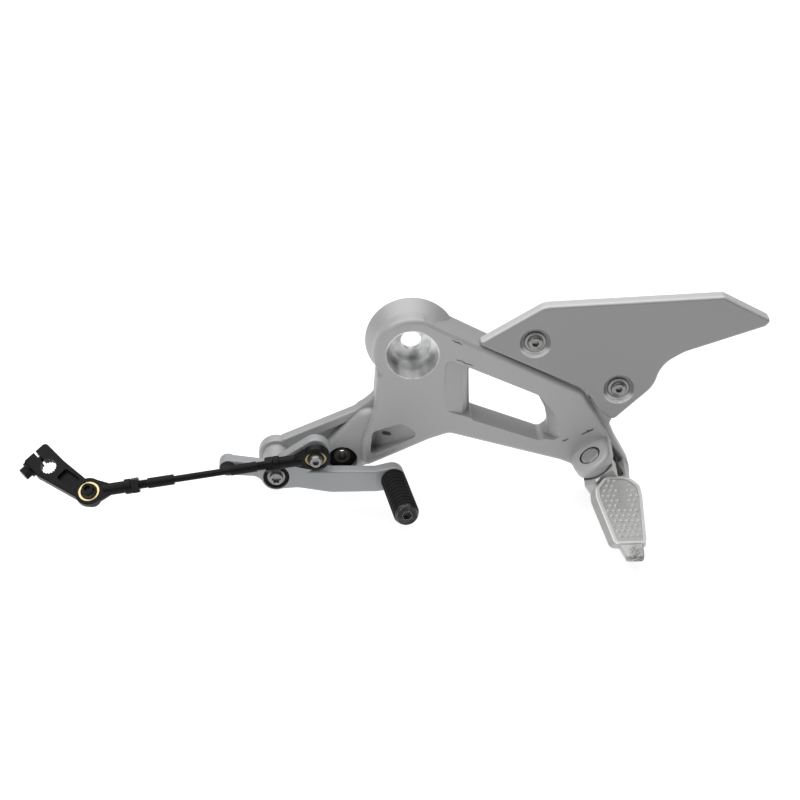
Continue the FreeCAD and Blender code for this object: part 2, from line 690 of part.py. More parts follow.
def rod_end(from_front, roll):
    """Housing of one rod end: head, tapered neck, shank and collar, tapped for the rod."""
    neck_end = HEAD_R + NECK_LENGTH
    head = cross(HEAD_R, HEAD_WIDTH)
    head = head.makeFillet(0.9, [e for e in head.Edges if e.Closed])
    neck = Part.makeCone(HEAD_R - 1, SHANK_R, neck_end - NECK_START, Vector(0, 0, NECK_START))
    side = 2 * HEAD_R
    neck = neck.common(Part.makeBox(side, HEAD_WIDTH, side, Vector(-HEAD_R, -HEAD_WIDTH / 2, 0)))
    shank = Part.makeCylinder(SHANK_R, SHANK_LENGTH - HEAD_R, Vector(0, 0, HEAD_R))
    collar = Part.makeCylinder(COLLAR_R, COLLAR_LENGTH, Vector(0, 0, SHANK_LENGTH))
    collar = collar.makeChamfer(0.5, [e for e in collar.Edges if e.Closed])
    solid = head.multiFuse([neck, shank, collar]).removeSplitter()
    tapped = Part.makeCylinder(THREAD_R, SHANK_LENGTH, Vector(0, 0, HEAD_R + THREAD_START))
    return on_rod(solid.cut([cross(RACE_R, 2 * HEAD_R), tapped]), from_front, roll)


def race(from_front, roll):
    """Brass race of one rod end, hollowed to the ball."""
    solid = cross(RACE_R, RACE_WIDTH).cut(Part.makeSphere(BALL_R + RUNNING))
    return on_rod(solid, from_front, roll)


def ball(place):
    """Ball of one joint, with flat faces and a bore."""
    middle = at_out(place, ROD_OUT)
    half = BALL_WIDTH / 2
    solid = Part.makeSphere(BALL_R, middle).common(disc(place, BALL_R, ROD_OUT - half, ROD_OUT + half))
    return solid.cut(disc(place, BALL_BOLT_R, ROD_OUT - BALL_R, ROD_OUT + BALL_R))


def ball_bolt(place, end):
    """Button-head bolt through one ball, down to the level of its end."""
    seat = ROD_OUT + BALL_WIDTH / 2
    profile = [
        (0, end), (BALL_BOLT_R - 0.5, end), (BALL_BOLT_R, end + 0.5), (BALL_BOLT_R, seat),
        (BALL_HEAD_R, seat), (BALL_HEAD_R, seat + 1.4), (BALL_HEAD_R - 0.8, seat + BALL_HEAD_T),
        (0, seat + BALL_HEAD_T),
    ]
    return spin(place, profile).cut(socket_cut(place, BALL_SOCKET, seat + 0.6, seat + BALL_HEAD_T))


def rear_ball_nut():
    """Nut behind the pedal's finger."""
    return stand(nut(NUT_FLATS, BALL_BOLT_R, NUT_HEIGHT), at_out(REAR_BALL, PEDAL_IN), Vector(0, 1, 0))


def lock_nut(from_front):
    """Nut that locks one rod end on the rod."""
    piece = nut(NUT_FLATS, THREAD_R, NUT_HEIGHT)
    piece.translate(Vector(0, 0, SHANK_LENGTH + COLLAR_LENGTH))
    return on_rod(piece, from_front, 14)


def shift_rod():
    """Rod: threaded ends, two thick grips and a thin middle."""
    length = rod_length()
    start = HEAD_R + THREAD_START
    steps = [
        (THREAD_R, start, GRIP_START), (GRIP_R, GRIP_START, GRIP_START + GRIP_LENGTH),
        (ROD_R, GRIP_START + GRIP_LENGTH, length - GRIP_START - GRIP_LENGTH),
        (GRIP_R, length - GRIP_START - GRIP_LENGTH, length - GRIP_START),
        (THREAD_R, length - GRIP_START, length - start),
    ]
    bars = []
    for radius, low, high in steps:
        bars.append(Part.makeCylinder(radius, high - low, Vector(0, 0, low)))
    return on_rod(bars[0].multiFuse(bars[1:]).removeSplitter(), False, 0)


def clamp_point(along_bolt, along_slot):
    """A side-view place in the clamp's own axes."""
    turn = math.radians(SLOT_ANGLE)
    bolt = (math.sin(turn), -math.cos(turn))
    slot = (math.cos(turn), math.sin(turn))
    return (
        SHAFT[0] + bolt[0] * along_bolt + slot[0] * along_slot,
        SHAFT[1] + bolt[1] * along_bolt + slot[1] * along_slot,
    )


def pinch_axis():
    """Unit vector of the pinch bolt, from its head to its point."""
    tail = clamp_point(0, 0)
    head = clamp_point(1, 0)
    return Vector(head[0] - tail[0], 0, head[1] - tail[1])


def pinch_base(along_bolt):
    """A point on the pinch bolt's axis."""
    return at_out(clamp_point(along_bolt, PINCH_OFFSET), SHIFT_ARM_OUT - SHIFT_ARM_T / 2)


def spline_cut():
    """The grooves of the splined bore as one star, narrower at their roots than at the bore."""
    steps = ((0.30, SHAFT_R - 0.3), (0.18, SHAFT_R + SPLINE_DEPTH))
    star = []
    for i in range(SPLINES):
        for side, (share, radius) in ((1, steps[0]), (1, steps[1]), (-1, steps[1]), (-1, steps[0])):
            turn = 2 * math.pi * (i - side * share) / SPLINES
            star.append((SHAFT[0] + radius * math.cos(turn), SHAFT[1] + radius * math.sin(turn), 0))
    return slab(star, SHIFT_ARM_OUT - SHIFT_ARM_T, SHIFT_ARM_OUT)


def rolled(shape):
    """Roll a piece of the shift arm about the rod, through the front ball."""
    shape.rotate(at_out(FRONT_BALL, ROD_OUT), rod_axis(), -FRONT_ROLL)
    return shape


def shift_arm():
    """Arm clamped on the gearbox shaft, with a splined bore, a slot and a pocket."""
    inner = SHIFT_ARM_OUT - SHIFT_ARM_T
    clamp = slab([clamp_point(u, v) + (r,) for u, v, r in CLAMP_CORNERS], inner, SHIFT_ARM_OUT)
    beam = link(SHAFT, BEAM_R, FRONT_BALL, BEAM_END_R, inner, SHIFT_ARM_OUT)
    solid = clamp.fuse(beam).removeSplitter()
    solid = soften(soften(solid, SHIFT_ARM_OUT, 0.8), inner, 0.8)
    half = SLOT_WIDTH / 2
    reach = CLAMP_CORNERS[1][1] + 1
    slot = [clamp_point(u, v) + (0,) for u, v in ((-half, 0), (-half, reach), (half, reach), (half, 0))]
    pocket = [(FRONT_BALL[0] + x, FRONT_BALL[1] + z, r) for x, z, r in BEAM_POCKET]
    cuts = [
        disc(SHAFT, SHAFT_R, inner, SHIFT_ARM_OUT),
        spline_cut(),
        slab(slot, inner, SHIFT_ARM_OUT),
        slab(pocket, SHIFT_ARM_OUT - BEAM_POCKET_DEPTH, SHIFT_ARM_OUT),
        disc(FRONT_BALL, BALL_BOLT_R, inner, SHIFT_ARM_OUT),
        stand(Part.makeCylinder(PINCH_R, PINCH_LENGTH), pinch_base(CLAMP_CORNERS[0][0]), pinch_axis()),
    ]
    return rolled(solid.cut(cuts).removeSplitter())


def pinch_bolt():
    """Flanged hexagon bolt that closes the clamp."""
    head = nut_blank(PINCH_FLATS, PINCH_HEAD)
    head.translate(Vector(0, 0, -PINCH_HEAD))
    flange = Part.makeCylinder(PINCH_FLANGE_R, PINCH_FLANGE_T, Vector(0, 0, -PINCH_FLANGE_T))
    shank = Part.makeCylinder(PINCH_R, PINCH_LENGTH)
    bolt = shank.multiFuse([flange, head]).removeSplitter()
    return rolled(stand(bolt, pinch_base(CLAMP_CORNERS[0][0]), pinch_axis()))


def footpeg_pin():
    """Hinge pin: a flat head sunk in the near ear and a groove for the clip past the far ear."""
    groove = -EAR_OUT
    end = groove - CLIP_T - 2
    profile = [
        (0, end), (PIN_R - 0.8, end), (PIN_R, end + 0.8), (PIN_R, groove - CLIP_T),
        (PIN_R - 1, groove - CLIP_T), (PIN_R - 1, groove), (PIN_R, groove), (PIN_R, SPOT_FLOOR),
        (PIN_HEAD_R, SPOT_FLOOR),
        (PIN_HEAD_R, EAR_OUT - 0.4), (PIN_HEAD_R - 0.8, EAR_OUT + 0.4), (0, EAR_OUT + 0.4),
    ]
    return in_hinge(lathe(profile))


def footpeg_clip():
    """Clip in the pin's groove under the far ear."""
    clip = upright(CLIP_R - 0.5, -EAR_OUT - CLIP_T, -EAR_OUT).cut(upright(PIN_R - 1, -THROUGH, 0))
    mouth = Part.makeBox(6, 12, 10, Vector(-3, 0, -EAR_OUT - 5))
    return in_hinge(clip.cut(mouth))


def footpeg_spring():
    """Coil on the pin between the knuckle and the far ear, which holds the peg out."""
    room = KNUCKLE_LOW + EAR_IN
    pitch = (room - SPRING_WIRE - 0.6) / SPRING_TURNS
    path = Part.makeHelix(pitch, pitch * SPRING_TURNS, SPRING_R)
    section = Part.Wire(Part.makeCircle(SPRING_WIRE / 2, Vector(SPRING_R, 0, 0), Vector(0, 1, 0)))
    coil = Part.Wire(path).makePipeShell([section], True, True)
    coil.translate(Vector(0, 0, -EAR_IN + SPRING_WIRE / 2 + 0.1))
    return in_hinge(coil)


def pyramid(base, top):
    """A solid with a flat base and one point."""
    sides = [Part.Face(Part.makePolygon([*reversed(base), base[-1]]))]
    for i, corner in enumerate(base):
        sides.append(Part.Face(Part.makePolygon([corner, base[(i + 1) % len(base)], top, corner])))
    return Part.Solid(Part.Shell(sides))


def studs():
    """Pointed studs of the tread in staggered rows, with a bare strip along the middle."""
    middle = (TREAD_CORNERS[4][0] + TREAD_CORNERS[5][0]) / 2
    floor = PEG_TOP - TREAD_DEPTH
    half = STUD_BASE / 2
    room = outline(TREAD_CORNERS).makeOffset2D(-PEG_RIM - STUD_MARGIN)
    pieces = []
    for row in range(STUD_ROWS):
        y = TREAD_CORNERS[0][1] - PEG_RIM - half - row * STUD_ROW
        for column in range(-STUD_COLUMNS, STUD_COLUMNS + 1):
            x = middle + (column + 0.5 * (row % 2)) * STUD_PITCH
            bare = abs(x - middle) < BARE_HALF and row < BARE_ROWS
            if bare or not room.isInside(Vector(x, 0, y), 0.01, True):
                continue
            base = [(x - half, y), (x, y - half), (x + half, y), (x, y + half)]
            corners = [Vector(u, v, floor - 0.2) for u, v in base]
            pieces.append(pyramid(corners, Vector(x, y, floor + STUD_HEIGHT)))
    return pieces


def laid(shape):
    """Lay a side-view plate flat in the footpeg's axes: out becomes height and z becomes y."""
    shape.rotate(Vector(0, 0, 0), Vector(1, 0, 0), -90)
    return shape


def peg_plate():
    """The peg's plate, from its foot up to the narrower tread."""
    wires = []
    for corners, level in ((FOOT_CORNERS, PEG_TOP - PEG_PLATE_T), (TREAD_CORNERS, PEG_TOP)):
        wire = outline(corners).OuterWire
        wire.translate(Vector(0, -level, 0))
        wires.append(wire)
    return Part.makeLoft(wires, True, True)


def peg_root():
    """The knuckle on the pin and the neck that carries the plate."""
    knuckle_top = EAR_IN - SIDE_GAP
    knuckle = upright(KNUCKLE_R, KNUCKLE_LOW, knuckle_top)
    left, right, reach = PEG_NECK
    neck = Part.makeBox(right - left, reach, knuckle_top - KNUCKLE_LOW, Vector(left, -reach, KNUCKLE_LOW))
    above = in_peg(laid(slab(FOOT_CORNERS, PEG_TOP - PEG_PLATE_T, THROUGH)))
    return in_hinge(knuckle.fuse(neck).removeSplitter()).cut(above)


def footpeg():
    """Cast footpeg: knuckle and neck on the pin, plate with a studded tread, plain tip."""
    keel = slab(KEEL_CORNERS, PEG_BOTTOM, PEG_TOP - PEG_PLATE_T)
    tip = slab(TIP_CORNERS, TIP_BOTTOM, TIP_TOP)
    tip = soften(soften(tip, TIP_TOP, PEG_ROUND), TIP_BOTTOM, PEG_ROUND)
    solid = in_peg(laid(peg_plate().multiFuse([keel, tip]))).fuse(peg_root())
    hollow = outline(TREAD_CORNERS).makeOffset2D(-PEG_RIM)
    hollow.translate(Vector(0, TREAD_DEPTH - PEG_TOP, 0))
    cuts = [
        in_peg(laid(hollow.extrude(Vector(0, -TREAD_DEPTH, 0)))),
        in_hinge(upright(PIN_R + RUNNING, -THROUGH, THROUGH)),
        in_hinge(upright(EAR_R + EAR_GAP, EAR_IN - SIDE_GAP, THROUGH)),
        in_hinge(upright(EAR_R + EAR_GAP, -THROUGH, KNUCKLE_LOW)),
    ]
    return solid.cut(cuts).multiFuse([in_peg(stud) for stud in studs()]).removeSplitter()


def build():
    """Every node with its shape."""
    return {
        "hanger": hanger(),
        "front_mount_bush": front_mount_bush(),
        "front_mount_sleeve": front_mount_sleeve(),
        "heel_guard": heel_guard(),
        "heel_guard_bolts": Part.makeCompound([heel_guard_bolt(place) for place in GUARD_BOLTS]),
        "gear_pedal": gear_pedal(),
        "tail_plug": tail_plug(),
        "pedal_bush": pedal_bush(),
        "pivot_sleeve": pivot_sleeve(),
        "pivot_washer": pivot_washer(),
        "pivot_seal": pivot_seal(),
        "pivot_bolt": pivot_bolt(),
        "toe_peg_pin": toe_peg_pin(),
        "toe_peg_rubber": toe_peg_rubber(),
        "toe_peg_screw": toe_peg_screw(),
        "rear_rod_end": rod_end(False, REAR_ROLL),
        "front_rod_end": rod_end(True, FRONT_ROLL),
        "rear_race": race(False, REAR_ROLL),
        "front_race": race(True, FRONT_ROLL),
        "rear_ball": ball(REAR_BALL),
        "front_ball": rolled(ball(FRONT_BALL)),
        "rear_ball_bolt": ball_bolt(REAR_BALL, PEDAL_IN - NUT_HEIGHT - 1),
        "front_ball_bolt": rolled(ball_bolt(FRONT_BALL, SHIFT_ARM_OUT - SHIFT_ARM_T)),
        "rear_ball_nut": rear_ball_nut(),
        "lock_nuts": Part.makeCompound([lock_nut(False), lock_nut(True)]),
        "shift_rod": shift_rod(),
        "shift_arm": shift_arm(),
        "pinch_bolt": pinch_bolt(),
        "footpeg_pin": footpeg_pin(),
        "footpeg_clip": footpeg_clip(),
        "footpeg_spring": footpeg_spring(),
        "footpeg": footpeg(),
    }


if __name__ == "__main__":
    os.makedirs("parts", exist_ok=True)
    for name, shape in build().items():
        shape.exportStep("parts/" + name + ".step")
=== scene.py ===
"""Looks of a motorbike's footrest bracket: a finish on each piece, small added details and a studio."""

import json
import math

import bmesh
import bpy
from bpy.props import FloatProperty, FloatVectorProperty, IntProperty, PointerProperty
from mathutils import Matrix, Vector
from mathutils.geometry import interpolate_bezier


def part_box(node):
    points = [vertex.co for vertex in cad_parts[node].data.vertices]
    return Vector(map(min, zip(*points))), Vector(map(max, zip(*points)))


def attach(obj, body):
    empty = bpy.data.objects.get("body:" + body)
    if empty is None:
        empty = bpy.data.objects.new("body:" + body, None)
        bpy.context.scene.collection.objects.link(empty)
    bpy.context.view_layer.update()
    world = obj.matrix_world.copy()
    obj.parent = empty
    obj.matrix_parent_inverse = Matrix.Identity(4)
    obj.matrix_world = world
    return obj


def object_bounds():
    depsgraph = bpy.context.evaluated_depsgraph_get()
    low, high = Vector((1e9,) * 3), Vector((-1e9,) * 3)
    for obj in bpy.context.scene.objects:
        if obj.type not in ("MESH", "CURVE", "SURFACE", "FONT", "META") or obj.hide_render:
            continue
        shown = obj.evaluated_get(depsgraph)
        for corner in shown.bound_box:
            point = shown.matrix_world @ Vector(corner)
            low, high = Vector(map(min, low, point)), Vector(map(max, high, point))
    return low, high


bl_info = {
    "name": "Footrest Bracket",
    "version": (1, 0, 0),
    "blender": (4, 5, 0),
    "location": "3D View > Sidebar > Footrest",
    "description": "Finishes and small details of a motorbike's footrest bracket, with a studio",
    "category": "Object",
}

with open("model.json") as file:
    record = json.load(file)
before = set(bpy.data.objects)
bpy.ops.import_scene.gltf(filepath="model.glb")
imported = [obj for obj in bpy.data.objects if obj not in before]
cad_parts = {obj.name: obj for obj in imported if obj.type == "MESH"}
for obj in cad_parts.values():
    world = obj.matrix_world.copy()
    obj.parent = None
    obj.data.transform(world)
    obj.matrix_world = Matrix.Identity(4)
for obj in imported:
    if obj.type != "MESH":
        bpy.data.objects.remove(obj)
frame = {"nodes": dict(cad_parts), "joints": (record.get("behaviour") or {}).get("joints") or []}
CAD_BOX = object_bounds()

MM = 0.001
JOINTS = {joint["name"]: joint for joint in frame["joints"]}

# The rod, measured from the centre of each of its two balls
REAR_BALL = Vector(JOINTS["rod_swivel"]["pos_m"])
FRONT_BALL = Vector(JOINTS["arm_swivel"]["pos_m"])
ROD_AXIS = (FRONT_BALL - REAR_BALL).normalized()
THREAD_START = 36.9 * MM
THREAD_END = 42.8 * MM
THREAD_CORE = 2.9 * MM

# The main bore runs along Y through the origin, and its counterbore is turned in fine rings
COUNTERBORE_R = 18.8 * MM
BOSS_OUT = 29.0 * MM
TURNED_PITCH = 1.1 * MM

# Marks on the hanger's face in mm as (x, z, slope in degrees, length, width), and how far out it lies: the
# first two are nicks, the last two are lines of painted shade in creases
NICKS_AND_CREASE_SHADES = (
    (128.6, -68.4, 26.0, 12.0, 2.4), (112.6, -75.0, 20.0, 6.0, 2.0),
    (37.4, -7.2, -26.7, 16.0, 1.2), (31.7, 9.2, -23.0, 10.0, 1.4),
)
FACE_OUT = 19.0 * MM

# The heel guard's two bolts as (x, z) in mm, and the rings of its dishes round them
GUARD_BOLTS = ((88.0, 7.0), (149.5, -31.5))
FLANGE_R = 7.6 * MM
DISH_R = 11.2 * MM

# The footpeg's hinge: its pin, the two ears on it and how far the painted shade reaches between them
PIN = Vector(JOINTS["footpeg_fold"]["pos_m"])
PIN_AXIS = Vector(JOINTS["footpeg_fold"]["axis"])
PIN_HEAD_R = 7.0 * MM
EAR_R = 15.0 * MM
EAR_IN = 10.5 * MM
EAR_REACH = 25.0 * MM
SLOT_SHADE_R = 22.6 * MM

# The fixed leg of the hinge's spring, as points across, inward and along the pin in mm
SPRING_LEG = (
    (12.4, 0.0, -0.7), (12.7, 4.5, -0.8), (12.2, 9.5, -0.8),
    (11.7, 11.6, -0.2), (11.5, 11.6, 4.0), (11.4, 11.6, 9.4),
)

# The footpeg's tread leans out; its floor and its rim lie above the pin's middle
TREAD_LEAN = math.radians(11)
TREAD_FLOOR = 7.8 * MM
TREAD_RIM = 9.0 * MM
TREAD_START = 17.0 * MM

# The scuffed patch on the footpeg's tip: to the rear of the pin, and in from the tip's end
SCUFF_REAR = 14.0 * MM
SCUFF_IN = 6.0 * MM

# The photograph: its width and the pixel on which the main bore's front centre lands
PHOTO_WIDTH = 800
BORE_PIXEL = (412.6, 355.2)
BORE_FRONT = Vector((0, -BOSS_OUT, 0))
SENSOR = 36.0

# The studio: where the lights stand from the part's middle, their sizes and half the floor's side
KEY_FROM = Vector((-0.2, 0.3, 1.7))
KEY_SIZE = 2.8
FILL_FROM = Vector((-0.55, -0.8, 0.6))
FILL_SIZE = 0.4
FLOOR_HALF = 8.0


def colour_of(label, use, colour):
    """A colour property."""
    return FloatVectorProperty(
        name=label, description=use, subtype="COLOR", size=3, min=0, max=1, default=colour
    )


class FootrestFinishes(bpy.types.PropertyGroup):
    """Colours of the finishes."""

    cast_silver: colour_of("Cast silver", "Satin coat of the hanger", (0.385, 0.389, 0.386))
    guard_silver: colour_of("Guard silver", "Smooth paint of the heel guard", (0.27, 0.27, 0.273))
    pedal_silver: colour_of("Pedal silver", "Satin coat of the gear pedal", (0.335, 0.341, 0.353))
    peg_alloy: colour_of("Peg alloy", "Bare casting of the footpeg", (0.56, 0.56, 0.55))
    black_steel: colour_of("Black steel", "Satin black of the rod and the arm", (0.006, 0.006, 0.0064))
    zinc_steel: colour_of("Zinc steel", "Plate of the bright fasteners", (0.25, 0.25, 0.247))
    dark_steel: colour_of("Dark steel", "Oiled steel of springs and balls", (0.06, 0.055, 0.05))
    brass_race: colour_of("Brass", "Races of the rod ends", (0.58, 0.48, 0.26))
    black_rubber: colour_of("Black rubber", "Bush, seal and toe peg", (0.008, 0.008, 0.008))
    black_plastic: colour_of("Black plastic", "Plug of the pedal's tail", (0.035, 0.035, 0.036))
    grain: FloatProperty(
        name="Casting grain", description="Depth of the casting's skin", unit="LENGTH", default=0.03 * MM
    )
    edge: FloatProperty(
        name="Soft edge", description="Radius of edges that catch the light", unit="LENGTH",
        default=0.5 * MM,
    )


class FootrestDetails(bpy.types.PropertyGroup):
    """Sizes of the added details."""

    thread_pitch: FloatProperty(
        name="Thread pitch", description="Pitch of the rod's threads", unit="LENGTH", default=1.0 * MM
    )
    thread_depth: FloatProperty(
        name="Thread depth", description="Height of the rod's threads", unit="LENGTH", default=0.45 * MM
    )
    thread_steps: IntProperty(
        name="Steps a turn", description="Faces round one turn of a thread", default=24, min=8, max=64
    )
    wire: FloatProperty(
        name="Spring wire", description="Thickness of the footpeg spring", unit="LENGTH", default=2.4 * MM
    )


class FootrestStudio(bpy.types.PropertyGroup):
    """Camera, floor and light."""

    azimuth: FloatProperty(
        name="Azimuth", description="Turn of the camera round the part", subtype="ANGLE",
        default=math.radians(-2.6),
    )
    elevation: FloatProperty(
        name="Elevation", description="Height of the camera", subtype="ANGLE", default=math.radians(28.0)
    )
    distance: FloatProperty(
        name="Distance", description="From the camera to the main bore", unit="LENGTH", default=1.7
    )
    lens: FloatProperty(name="Lens", description="Focal length in millimetres", default=107.1)
    floor_gap: FloatProperty(
        name="Floor gap", description="Floor below the part's lowest point", unit="LENGTH", default=2 * MM
    )
    floor_colour: colour_of("Floor", "Colour of the floor", (0.42, 0.42, 0.42))
    floor_glow: FloatProperty(name="Floor glow", description="Light that the floor gives", default=0.78)
    key: FloatProperty(name="Key light", description="Power of the light above", unit="POWER", default=58.0)
    fill: FloatProperty(
        name="Fill light", description="Power of the light in front", unit="POWER", default=1.6
    )
    world: FloatProperty(name="Room light", description="Light from all round", default=0.12)


def tinted(colour, factor):
    """A colour made lighter or darker."""
    return [min(1.0, c * factor) for c in colour]


class Socket:
    """A shader socket that can stand in an expression: each operator adds one Math node."""

    def __init__(self, finish, socket):
        self.finish = finish
        self.socket = socket

    def math(self, operation, *others):
        """A Math node with this socket first."""
        sockets = dict(enumerate((self, *others)))
        return self.finish.add("ShaderNodeMath", {"operation": operation}, sockets)

    def __add__(self, other):
        return self.math("ADD", other)

    def __sub__(self, other):
        return self.math("SUBTRACT", other)

    def __rsub__(self, other):
        return self.finish.add("ShaderNodeMath", {"operation": "SUBTRACT"}, {0: other, 1: self})

    def __mul__(self, other):
        return self.math("MULTIPLY", other)

    __radd__ = __add__
    __rmul__ = __mul__

    def ramp(self, low, high):
        """0 at low and below, 1 at high and above, smooth between; low may be the larger."""
        ends = {"Value": self, "From Min": low, "From Max": high}
        return self.finish.add("ShaderNodeMapRange", {"interpolation_type": "SMOOTHSTEP"}, ends)

    def within(self, limit, soft):
        """1 below a limit and 0 above it, smooth over a width on each side."""
        return self.ramp(limit + soft, limit - soft)

    def beyond(self, limit, soft):
        """0 below a limit and 1 above it, smooth over a width on each side."""
        return self.ramp(limit - soft, limit + soft)


class Finish:
    """One material while it is made: its nodes, the piece's own coordinates and its shader."""

    def __init__(self, name):
        self.material = bpy.data.materials.new(name)
        self.material.use_nodes = True
        self.tree = self.material.node_tree
        self.tree.nodes.clear()
        self.place = self.add("ShaderNodeTexCoord", {}, {}, "Object")
        self.shader = self.tree.nodes.new("ShaderNodeBsdfPrincipled")
        output = self.tree.nodes.new("ShaderNodeOutputMaterial")
        self.tree.links.new(self.shader.outputs["BSDF"], output.inputs["Surface"])

    def plug(self, target, value):
        """Link a socket, or set a plain value."""
        if isinstance(value, Socket):
            self.tree.links.new(value.socket, target)
        elif hasattr(target.default_value, "__len__") and len(target.default_value) == 4:
            target.default_value = (*value[:3], 1)
        else:
            target.default_value = value

    def add(self, kind, settings, sockets, out=0):
        """Any node: its settings first, then its sockets, and one of its outputs."""
        node = self.tree.nodes.new(kind)
        for key, value in settings.items():
            setattr(node, key, value)
        for key, value in sockets.items():
            self.plug(node.inputs[key], value)
        return Socket(self, node.outputs[out])

    def vector(self, operation, *vectors, out="Vector"):
        """A Vector Math node."""
        return self.add("ShaderNodeVectorMath", {"operation": operation}, dict(enumerate(vectors)), out)

    def mix(self, share, first, second):
        """Two colours mixed by a share."""
        settings = {"data_type": "RGBA"}
        return self.add("ShaderNodeMix", settings, {0: share, 6: first, 7: second}, 2)

    def noise(self, size, detail, stretch=(1, 1, 1)):
        """Cloudy noise from 0 to 1 whose blots have a size in metres."""
        place = self.place
        if stretch != (1, 1, 1):
            place = self.add("ShaderNodeMapping", {}, {"Vector": place, "Scale": stretch})
        sockets = {"Vector": place, "Scale": 1 / size, "Detail": detail}
        return self.add("ShaderNodeTexNoise", {}, sockets, "Fac")

    def axes(self):
        """The three coordinates as separate values."""
        node = self.tree.nodes.new("ShaderNodeSeparateXYZ")
        self.plug(node.inputs[0], self.place)
        return [Socket(self, socket) for socket in node.outputs]

    def near(self, point, scale=(1, 1, 1)):
        """Distance from a point, with each axis stretched by its own scale."""
        offset = [-p * s for p, s in zip(point, scale)]
        sockets = {"Vector": self.place, "Location": offset, "Scale": scale}
        return self.vector("LENGTH", self.add("ShaderNodeMapping", {}, sockets), out="Value")

    def beside(self, point, axis):
        """Distance from a straight line, and distance along it from one of its points."""
        offset = self.vector("SUBTRACT", self.place, point)
        across = self.vector("CROSS_PRODUCT", offset, axis)
        away = self.vector("LENGTH", across, out="Value")
        return away, self.vector("DOT_PRODUCT", offset, axis, out="Value")

    def soft_edge(self, radius):
        """A normal that is rounded at edges, and a mask that is 1 on the edges."""
        normal = self.add("ShaderNodeBevel", {"samples": 6}, {"Radius": radius})
        flat = self.add("ShaderNodeNewGeometry", {}, {}, "Normal")
        along = self.vector("DOT_PRODUCT", normal, flat, out="Value")
        return normal, (1 - along).ramp(0.01, 0.22)

    def facing_up(self):
        """How far the surface faces up, from -1 to 1."""
        normal = self.add("ShaderNodeNewGeometry", {}, {}, "Normal")
        return self.add("ShaderNodeSeparateXYZ", {}, {0: normal}, "Z")

    def mark(self, x, z, slope, length, width):
        """1 on a short uneven mark in the side view, at a place and a slope."""
        turn = math.radians(slope)
        waver = (self.noise(4 * MM, 2) - 0.5) * (1.8 * width)
        along = (x * math.cos(turn) + z * math.sin(turn)).math("ABSOLUTE")
        across = (z * math.cos(turn) - x * math.sin(turn) + waver).math("ABSOLUTE")
        return along.within(0.4 * length, 0.1 * length) * across.within(0.3 * width, 0.2 * width)

    def shade(self, **sockets):
        """Set or link the shader's sockets, named with _ for a blank."""
        for key, value in sockets.items():
            self.plug(self.shader.inputs[key.replace("_", " ")], value)
        return self.material


class Coat(Finish):
    """A finish of one colour with soft edges, blots and grain, which are noises of a size and a detail."""

    def __init__(self, name, colour, edge, blots, grain):
        super().__init__(name)
        self.colour = colour
        self.normal, self.edge = self.soft_edge(edge)
        self.cloud = self.noise(*blots)
        self.grain = self.noise(*grain)

    def blotched(self, low, high):
        """The colour from its dark blots to its light ones."""
        return self.mix(self.cloud, tinted(self.colour, low), tinted(self.colour, high))

    def toned(self, share, skin, factor):
        """A skin that goes by a share to a lighter or darker tone of the colour."""
        return self.mix(share, skin, tinted(self.colour, factor))

    def bump(self, height, depth):
        """The normal with soft edges, roughened by a height from 0 to 1."""
        sockets = {"Strength": 1.0, "Distance": depth, "Height": height, "Normal": self.normal}
        return self.add("ShaderNodeBump", {}, sockets)


def dress(material, slot, *nodes):
    """Give nodes a material; the slot argument is not used."""
    for name in nodes:
        node = frame["nodes"][name]
        node.data.materials.clear()
        node.data.materials.append(material)


def hinge_light_and_shade(f, skin):
    """The hanger's skin with a painted highlight on the ears, and painted shade round the footpeg's pin and
    in its slot.
    """
    away, along = f.beside(PIN, PIN_AXIS)
    # painted highlight: the ears lightened where light falls on their rounded barrel
    painted_ear_highlight = away.within(EAR_R, 3 * MM) * f.near(PIN).within(EAR_REACH, 3 * MM)
    # painted shade: a dark ring in the gap round the pin's head
    ring = away.within(PIN_HEAD_R + 1.25 * MM, 0.35 * MM)
    between = along.ramp(-EAR_IN, 1 * MM - EAR_IN) * along.ramp(EAR_IN, EAR_IN - 1 * MM)
    # painted shade on the slot's wall between the ears
    slot = away.within(SLOT_SHADE_R, 1 * MM) * between
    skin = f.toned(painted_ear_highlight, skin, 1.35)
    skin = f.toned(ring * 0.85, skin, 0.1)
    return f.toned(slot * 0.9, skin, 0.16)


def nicked_and_crease_shaded(f, skin):
    """The hanger's skin with dark nicks and lines of painted crease shade on its face."""
    x, y, z = f.axes()
    face = (-1 * y).beyond(FACE_OUT, 1 * MM)
    for line_x, line_z, slope, length, width in NICKS_AND_CREASE_SHADES:
        # nicks, and lines of painted shade where the face steps in a crease
        nick_and_crease_shade = f.mark(x - line_x * MM, z - line_z * MM, slope, length * MM, width * MM)
        skin = f.toned(nick_and_crease_shade * face, skin, 0.15)
    return skin


